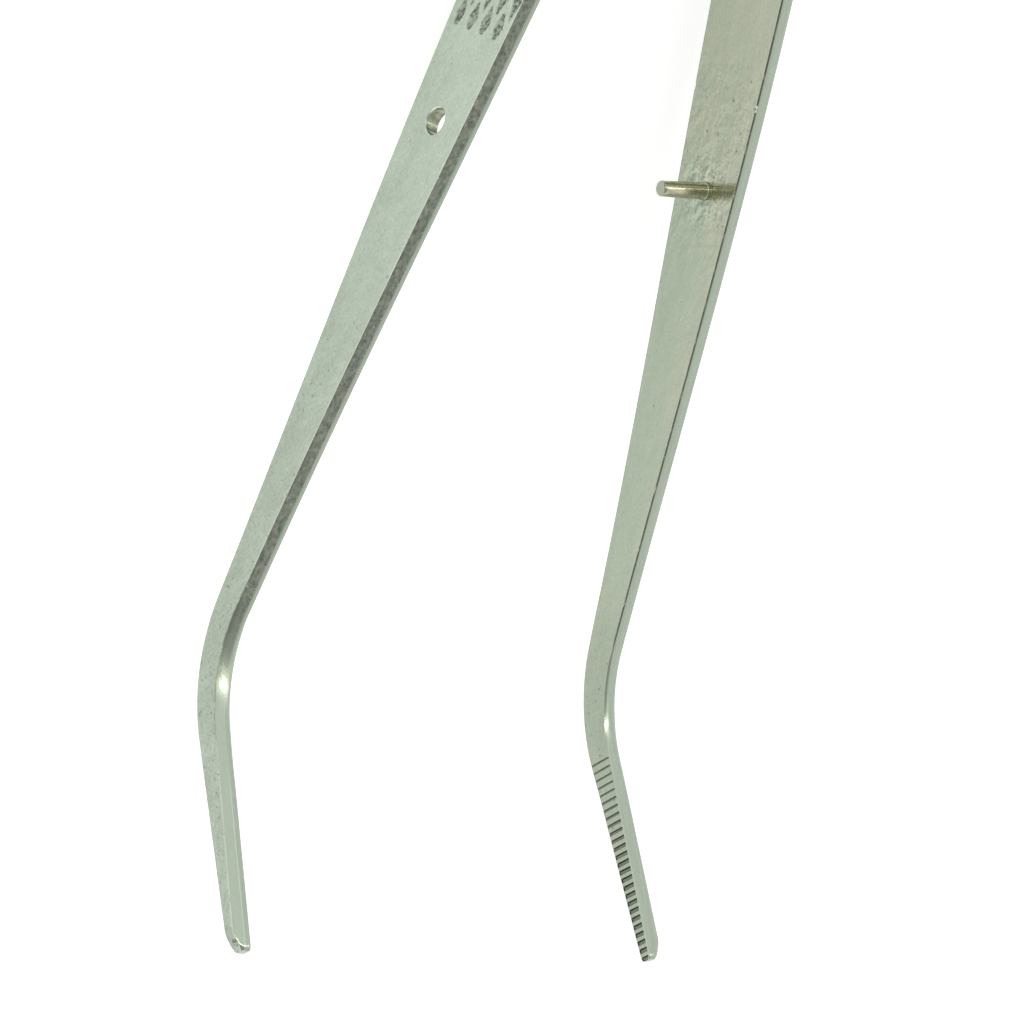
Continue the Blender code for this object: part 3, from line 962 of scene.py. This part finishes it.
class ReliefTree(Graph):
    """Geometry Nodes that press the knurling and cut the serrations into a blade."""

    PHASE = 100.5  # above zero everywhere, with a pit in the middle of each cell
    OUTER_FROM = 0.0009  # points further out than this are on the outer face's side
    INNER_TO = 0.00005  # points nearer than this are on the inner face
    GROOVE_SHADE = 9000.0  # per metre of groove, in the sunk value that the finishes paint as shade

    def __init__(self, number_inputs):
        super().__init__(bpy.data.node_groups.new("blade_relief", "GeometryNodeTree"))
        interface = self.tree.interface
        interface.new_socket("Geometry", in_out="INPUT", socket_type="NodeSocketGeometry")
        interface.new_socket("Geometry", in_out="OUTPUT", socket_type="NodeSocketGeometry")
        for name in number_inputs:
            interface.new_socket(name, in_out="INPUT", socket_type="NodeSocketFloat")
        for name in FINISH_INPUTS:
            interface.new_socket(name, in_out="INPUT", socket_type="NodeSocketMaterial")
        self.given = self.node("NodeGroupInput")
        self.build()

    def amount(self, name):
        return Value(self, self.given.outputs[name])

    def stored(self, name, kind="FLOAT"):
        made = self.node("GeometryNodeInputNamedAttribute", {"data_type": kind}, {"Name": name})
        return made.outputs[0]

    def step(self, kind, geometry, inputs=None, settings=None):
        """What a node makes of a geometry."""
        return self.node(kind, settings, {"Geometry": geometry, **(inputs or {})}).outputs[0]

    def knurling(self):
        """Share of the full depth: pits between two families of crossing ridges."""
        along = Value(self, self.stored("from_pin"))
        across = Value(self, self.stored("across"))
        border = Value(self, self.stored("to_border"))
        pitch = self.amount("Knurl Pitch")
        run = (along - self.amount("Knurl Centre")) * self.amount("Knurl Slope")
        aside = across - self.amount("Knurl Offset")
        first = self.maths("FRACT", (aside + run) / pitch + self.PHASE)
        second = self.maths("FRACT", (aside - run) / pitch + self.PHASE)
        # From -1 at a pit's head end to 1 at the end towards the tip, which is the wide one
        lengthwise = first - second
        land = self.amount("Knurl Land") * (1.0 - lengthwise * 0.28)
        to_ridge = self.maths("MINIMUM", self.from_ridge(first), self.from_ridge(second)) * pitch
        wall = self.amount("Knurl Wall")
        pit = self.smooth(to_ridge, land * 0.5, land * 0.5 + wall)
        # Each pit's floor slopes, deepest on the side of the blade's upper edge
        sideways = first + second - 1.0
        pit = pit * (0.80 + sideways * 0.60)
        margin = self.amount("Knurl Margin")
        inside = self.smooth(border, margin * 0.5, margin)
        start, end = self.amount("Knurl Start"), self.amount("Knurl End")
        after = self.smooth(along, start, start + wall)
        before = self.smooth(along, end - wall, end, 1.0, 0.0)
        return pit * inside * after * before

    def from_ridge(self, phase):
        """Distance from the nearest ridge's middle, as a share of the pitch."""
        return self.maths("MINIMUM", phase, 1.0 - phase)

    def serration(self):
        """Depth of the grooves, which get wider towards the tip."""
        along = Value(self, self.stored("from_pin"))
        pitch = self.amount("Groove Pitch")
        steps = (along - self.amount("First Groove")) / pitch
        index = self.maths("ROUND", steps)
        off = self.maths("ABSOLUTE", steps - index) * pitch
        growth = (index - EVEN_GROOVES) / GROWING_GROOVES
        growth = self.maths("MINIMUM", self.maths("MAXIMUM", growth, 0.0), 1.0)
        narrow = self.amount("Narrow Groove")
        width = narrow + (self.amount("Wide Groove") - narrow) * growth
        depth = width * self.amount("Groove Steepness")
        cut = self.smooth(off, width * 0.26, width * 0.5, 1.0, 0.0)
        return cut * depth * (index > -0.5) * (index < self.amount("Groove Count") - 0.5)

    def build(self):
        geometry = self.given.outputs["Geometry"]
        outward = Value(self, self.stored("outward"))
        knurl = self.knurling() * (outward > self.OUTER_FROM)
        # The grooves run out at the edges of the inner face, so the outline stays whole
        border = Value(self, self.stored("to_border"))
        groove = self.serration() * (outward < self.INNER_TO)
        groove = groove * self.smooth(border, -0.00001, 0.00006)
        push = groove - knurl * self.amount("Knurl Depth")
        moved = self.shaded(self.stored("outwards", "FLOAT_VECTOR"), push)
        geometry = self.step("GeometryNodeSetPosition", geometry, {"Offset": moved})
        # sunk is the depth that the finishes paint as shade in the knurl pits and the grooves
        sunk = knurl + groove * self.GROOVE_SHADE
        geometry = self.step(
            "GeometryNodeStoreNamedAttribute",
            geometry,
            {"Name": "sunk", "Value": sunk},
            {"data_type": "FLOAT", "domain": "POINT"},
        )
        geometry = self.step("GeometryNodeRealizeInstances", geometry)
        finish = Value(self, self.stored("finish", "INT"))
        for number, name in enumerate(FINISH_INPUTS):
            chosen = self.maths("COMPARE", finish, float(number), 0.1)
            inputs = {"Selection": chosen, "Material": self.given.outputs[name]}
            geometry = self.step("GeometryNodeSetMaterial", geometry, inputs)
        result = self.node("NodeGroupOutput")
        self.feed(result.inputs["Geometry"], geometry)


def relief_values(shape, relief):
    return {
        "Knurl Start": relief.knurl_start,
        "Knurl End": relief.knurl_end,
        "Knurl Pitch": relief.knurl_pitch,
        "Knurl Slope": math.tan(relief.knurl_angle),
        "Knurl Land": relief.knurl_land,
        "Knurl Wall": relief.knurl_wall,
        "Knurl Depth": relief.knurl_depth,
        "Knurl Centre": relief.knurl_centre,
        "Knurl Offset": relief.knurl_offset,
        "Knurl Margin": relief.knurl_margin,
        "First Groove": first_groove(shape, relief) - shape.pin_at,
        "Groove Count": float(relief.groove_count),
        "Groove Pitch": relief.groove_pitch,
        "Narrow Groove": relief.groove_narrow,
        "Wide Groove": relief.groove_wide,
        "Groove Steepness": relief.groove_steep,
    }


def add_relief(piece, tree, values):
    """Puts the relief on a piece. values are by input name."""
    modifier = piece.modifiers.new("blade_relief", "NODES")
    modifier.node_group = tree
    for item in tree.interface.items_tree:
        if item.in_out == "INPUT" and item.name in values:
            modifier[item.identifier] = values[item.name]


# ---------------------------------------------------------------------------
# Meshes


def add_object(name, mesh):
    made = bpy.data.objects.new(name, mesh)
    bpy.context.scene.collection.objects.link(made)
    return made


def turned_mesh(name, profile, base, direction, sides=64):
    """A closed round mesh: (radius, distance) points turned about an axis from base."""
    across = direction.orthogonal().normalized()
    other = direction.cross(across)
    places = []
    for radius, distance in profile:
        for i in range(sides):
            angle = 2 * math.pi * i / sides
            out = across * math.cos(angle) + other * math.sin(angle)
            places.append(base + direction * distance + out * radius)
    return tube_mesh(name, places, sides)


def arc(centre_radius, centre_distance, radius, start, end, count):
    """Points of a profile along an arc. Angles are from the radius towards the distance."""
    points = []
    for i in range(count + 1):
        angle = math.radians(between(start, end, i / count))
        points.append(
            (centre_radius + radius * math.cos(angle), centre_distance + radius * math.sin(angle))
        )
    return points


def smooth_by_angle(mesh, degrees):
    mesh.shade_smooth()
    mesh.set_sharp_from_angle(angle=math.radians(degrees))


def bake_modifiers(piece):
    """Turns what the modifiers make into the piece's plain mesh."""
    graph = bpy.context.evaluated_depsgraph_get()
    made = bpy.data.meshes.new_from_object(
        piece.evaluated_get(graph), preserve_all_data_layers=True, depsgraph=graph
    )
    made.name = piece.name
    piece.modifiers.clear()
    piece.data = made


def drill_mesh(name, shape, side, radius, chamfer):
    """A cutter for a hole with broken edges, square to the blade at the guide pin."""
    thick = shape.sizes.thickness
    base = shape.place(side, shape.pin_at, 0.0, 0.0)
    direction = (shape.place(side, shape.pin_at, 0.0, thick) - base).normalized()
    beyond = 0.0004
    profile = [
        (radius + chamfer + beyond, -beyond),
        (radius, chamfer),
        (radius, thick - chamfer),
        (radius + chamfer + beyond, thick + beyond),
    ]
    return turned_mesh(name, profile, base, direction)


def drill(piece, mesh, wall, rim):
    """Adds a Boolean that cuts the mesh out of the piece, and returns the cutter."""
    mesh.materials.append(rim)
    mesh.materials.append(wall)
    sides = len(mesh.vertices) // 4
    for polygon in mesh.polygons:
        polygon.material_index = 1 if sides <= polygon.index < 2 * sides else 0
    for name in ("strip_mm", "depth_mm"):
        mesh.uv_layers.new(name=name)
    cutter = add_object(mesh.name, mesh)
    modifier = piece.modifiers.new("hole", "BOOLEAN")
    modifier.operation = "DIFFERENCE"
    modifier.solver = "EXACT"
    modifier.material_mode = "TRANSFER"
    modifier.object = cutter
    return cutter


def clear_working_data(mesh):
    """Removes what only the relief needed."""
    for name in ("from_pin", "across", "outward", "outwards", "finish"):
        found = mesh.attributes.get(name)
        if found is not None:
            mesh.attributes.remove(found)


# ---------------------------------------------------------------------------
# Pieces


def make_blades(settings):
    """Both blades, each one strip from the head to its tip, with relief and a hole."""
    sizes, relief, pin, look = settings.blade, settings.relief, settings.pin, settings.steel
    shape = BladeShape(sizes)
    chamfer = grimy_chamfer(look, sizes.nick_at)
    edge = ground_flank("ground_edge", look.ground, 0.25, look)
    bevels = {
        LEFT: stained_bevel(look),
        RIGHT: ground_flank("ground_bevel", look.ground, 0.35, look),
    }
    inner, outer = polished_inner_face(look), satin_outer_face(look)
    wall = drilled_bore("drilled_wall", look.bore)
    # The broken edge's bright tint is a painted highlight
    rim = drilled_bore("burnished_rim", look.rim)
    values = relief_values(shape, relief)
    tree = ReliefTree(values).tree
    rivet_play, rivet_chamfer = 0.00002, 0.00005
    holes = {
        LEFT: (pin.hole_radius, pin.hole_chamfer),
        RIGHT: (pin.base_radius + rivet_play, rivet_chamfer),
    }
    for side, word in ((LEFT, "left"), (RIGHT, "right")):
        piece = add_object(word + "_blade", blade_mesh(word + "_blade", shape, relief, side))
        finishes = (inner, chamfer, edge, bevels[side], outer)
        add_relief(piece, tree, dict(values, **dict(zip(FINISH_INPUTS, finishes))))
        cutter = drill(piece, drill_mesh(word + "_drill", shape, side, *holes[side]), wall, rim)
        bake_modifiers(piece)
        bpy.data.objects.remove(cutter)
        clear_working_data(piece.data)
        smooth_by_angle(piece.data, 38)
        arm_end = (0.0, shape.place(side, shape.spring_end, 0.0, 0.0).y, LYING_HEIGHT)
        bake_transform(piece)
        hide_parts(word + "_blade_heel", word + "_blade_arm")


def make_guide_pin(settings):
    """The turned pin: riveted end, collar at the inner face, taper and rounded free end."""
    sizes, pin = settings.blade, settings.pin
    shape = BladeShape(sizes)
    thick = sizes.thickness
    base = shape.place(RIGHT, shape.pin_at, 0.0, thick)
    end = shape.place(RIGHT, shape.pin_at, 0.0, -pin.reach)
    dome, collar_round, shank_step = 0.00004, 0.00010, 0.0004
    rim = pin.end_round
    length = thick + pin.reach
    collar_top = thick + pin.collar_height
    collar_middle = pin.collar_radius - collar_round
    profile = []
    for part in (0.1, 0.4, 0.7, 0.9, 1.0):
        profile.append((pin.base_radius * part, -dome * (1 - part * part)))
    profile += [(pin.base_radius, thick * part) for part in (0.02, 0.5, 0.985)]
    profile.append((pin.collar_radius - 0.00004, thick * 0.99))
    profile += arc(collar_middle, thick + collar_round, collar_round, -30, 0, 3)
    profile += arc(collar_middle, collar_top - collar_round, collar_round, 0, 80, 5)
    for distance in evenly(collar_top + 0.00002, length - rim, shank_step):
        part = (distance - collar_top) / (length - collar_top)
        profile.append((between(pin.base_radius, pin.end_radius, part), distance))
    profile += arc(pin.end_radius - rim, length - rim, rim, 8, 90, 7)
    profile.append(((pin.end_radius - rim) * 0.5, length + 0.00001))
    mesh = turned_mesh("guide_pin_turned", profile, base, (end - base).normalized())
    mesh.materials.append(bright_pin_steel(settings.steel, end.x))
    smooth_by_angle(mesh, 40)
    piece = add_object("guide_pin_turned", mesh)
    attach(piece, "right_arm")
    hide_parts("guide_pin")


def make_weld_seam(settings):
    """Fused metal between the two heels, set back a little from their outline."""
    sizes = settings.blade
    shape = BladeShape(sizes)
    bite = 0.00003
    half_gap = sizes.seam_gap / 2 + bite
    set_back = 0.00022
    start, end = set_back * 1.5, sizes.weld_length * 0.97
    step, bead_height, crown_height = 0.00016, 0.00005, 0.00007
    over_gap = (-1, -0.55, 0, 0.55, 1)
    outline = [(part, -1) for part in over_gap] + [(part, 1) for part in reversed(over_gap)]
    places = []
    for number, distance in enumerate(evenly(start, end, step)):
        half = shape.corners(distance)[1][0] - set_back
        half += bead_height * math.sin(number * 1.9) * math.sin(number * 0.53 + 1.0)
        for across_gap, edge_sign in outline:
            crown = crown_height * (1 - across_gap * across_gap)
            height = LYING_HEIGHT + edge_sign * (half + crown)
            places.append((across_gap * half_gap, HEAD_END - distance, height))
    mesh = tube_mesh("weld_seam", places, len(outline), flipped=True)
    mesh.materials.append(fused_weld_metal(settings.steel))
    smooth_by_angle(mesh, 50)
    piece = add_object("weld_seam", mesh)
    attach(piece, "head")


# ---------------------------------------------------------------------------
# Stage


def pale_floor_material(stage):
    """Matt white table top that gives off a little light, so that shadows stay faint."""
    material = bpy.data.materials.new("pale_floor")
    material.use_nodes = True
    shader = material.node_tree.nodes["Principled BSDF"]
    shader.inputs["Base Color"].default_value = (0.86, 0.86, 0.86, 1.0)
    shader.inputs["Roughness"].default_value = 0.9
    shader.inputs["Specular IOR Level"].default_value = 0.0
    shader.inputs["Emission Color"].default_value = (1.0, 1.0, 1.0, 1.0)
    shader.inputs["Emission Strength"].default_value = stage.floor_glow
    return material


def make_floor(stage):
    half = stage.floor_size / 2
    clearance = 0.00003
    low = CAD_BOX[0].z - clearance
    mesh = bpy.data.meshes.new("table_top")
    corners = [(-half, -half, low), (half, -half, low), (half, half, low), (-half, half, low)]
    mesh.from_pydata(corners, [], [(0, 1, 2, 3)])
    mesh.materials.append(pale_floor_material(stage))
    add_object("table_top", mesh)


def make_light_tent(stage):
    """A light tent: bright sides, and a darker opening above the tool."""
    world = bpy.data.worlds.new("light_tent")
    world.use_nodes = True
    graph = Graph(world.node_tree)
    direction = graph.node("ShaderNodeTexCoord").outputs["Generated"]
    opening = Vector(stage.tent_opening).normalized()
    inputs = {0: direction, 1: opening}
    dot = graph.node("ShaderNodeVectorMath", {"operation": "DOT_PRODUCT"}, inputs)
    towards = Value(graph, dot.outputs["Value"])
    # Cosines of the angles from the opening's middle at which the brightness changes
    side_edge, opening_edge, opening_inside = 0.56, 0.74, 0.90
    shoulder = graph.smooth(
        towards, side_edge, opening_edge, stage.tent_bright, stage.tent_middle
    )
    fall = graph.smooth(
        towards, opening_edge, opening_inside, 0.0, stage.tent_middle - stage.tent_dark
    )
    background = world.node_tree.nodes["Background"]
    graph.feed(background.inputs["Strength"], shoulder - fall)
    background.inputs["Color"].default_value = (1.0, 1.0, 1.0, 1.0)
    bpy.context.scene.world = world


def make_softbox(stage):
    way = Vector(stage.softbox_way).normalized()
    middle = (CAD_BOX[0] + CAD_BOX[1]) / 2
    lamp = bpy.data.lights.new("softbox", "AREA")
    lamp.shape = "RECTANGLE"
    lamp.size = stage.softbox_length
    lamp.size_y = stage.softbox_width
    lamp.energy = stage.softbox_power
    lamp.color = stage.softbox_colour
    made = add_object("softbox", lamp)
    # It only shines in the steel: the glowing floor and the tent light everything else
    made.visible_diffuse = False
    made.location = middle + way * stage.softbox_far
    made.rotation_euler = way.to_track_quat("Z", "Y").to_euler()


def make_camera(stage):
    camera = bpy.data.cameras.new("camera")
    camera.sensor_width = 36.0
    camera.lens = stage.camera_lens
    camera.clip_start = 0.01
    camera.clip_end = 20.0
    made = add_object("camera", camera)
    made.location = stage.camera_place
    made.rotation_euler = Euler(stage.camera_turn)
    bpy.context.scene.camera = made


# ---------------------------------------------------------------------------
# Add-on


class ForcepsSettings(bpy.types.PropertyGroup):
    """Everything that can be set on the forceps and their stage."""

    blade: PointerProperty(type=BladeSizes, name="Blades", description="Sizes of the blades")
    relief: PointerProperty(
        type=ReliefSizes, name="Relief", description="Knurling and serrations"
    )
    pin: PointerProperty(type=PinSizes, name="Guide pin", description="Guide pin and holes")
    steel: PointerProperty(type=SteelLook, name="Steel", description="Colours of the steel")
    stage: PointerProperty(type=StageLook, name="Stage", description="Floor, lights, camera")


class FORCEPS_OT_blades(bpy.types.Operator):
    """Build the two blades with their knurling, serrations and holes"""

    bl_idname = "forceps.blades"
    bl_label = "Blades"

    def execute(self, context):
        make_blades(context.scene.forceps)
        return {"FINISHED"}


class FORCEPS_OT_guide_pin(bpy.types.Operator):
    """Build the turned guide pin, riveted in the right blade"""

    bl_idname = "forceps.guide_pin"
    bl_label = "Guide pin"

    def execute(self, context):
        make_guide_pin(context.scene.forceps)
        return {"FINISHED"}


class FORCEPS_OT_weld_seam(bpy.types.Operator):
    """Build the fused seam between the heels of the blades"""

    bl_idname = "forceps.weld_seam"
    bl_label = "Weld seam"

    def execute(self, context):
        make_weld_seam(context.scene.forceps)
        return {"FINISHED"}


class FORCEPS_OT_stage(bpy.types.Operator):
    """Set up the floor, the light tent, the softbox and the camera"""

    bl_idname = "forceps.stage"
    bl_label = "Stage"

    def execute(self, context):
        stage = context.scene.forceps.stage
        context.scene.view_settings.view_transform = "Standard"
        make_floor(stage)
        make_light_tent(stage)
        make_softbox(stage)
        make_camera(stage)
        return {"FINISHED"}


class FORCEPS_PT_panel(bpy.types.Panel):
    """Buttons and settings for the forceps"""

    bl_label = "Forceps"
    bl_idname = "FORCEPS_PT_panel"
    bl_space_type = "VIEW_3D"
    bl_region_type = "UI"
    bl_category = "Forceps"

    def draw(self, context):
        for operator in OPERATORS:
            self.layout.operator(operator.bl_idname)
        settings = context.scene.forceps
        for part in settings.__annotations__:
            group = getattr(settings, part)
            box = self.layout.box()
            for name in group.__annotations__:
                box.prop(group, name)


OPERATORS = (FORCEPS_OT_stage, FORCEPS_OT_blades, FORCEPS_OT_guide_pin, FORCEPS_OT_weld_seam)
GROUPS = (BladeSizes, ReliefSizes, PinSizes, SteelLook, StageLook, ForcepsSettings)


def register():
    for cls in (*GROUPS, *OPERATORS, FORCEPS_PT_panel):
        bpy.utils.register_class(cls)
    bpy.types.Scene.forceps = PointerProperty(type=ForcepsSettings)


def unregister():
    del bpy.types.Scene.forceps
    for cls in reversed((*GROUPS, *OPERATORS, FORCEPS_PT_panel)):
        bpy.utils.unregister_class(cls)


def main():
    register()
    bpy.ops.forceps.stage()
    bpy.ops.forceps.blades()
    bpy.ops.forceps.guide_pin()
    bpy.ops.forceps.weld_seam()


if __name__ == "__main__":
    main()
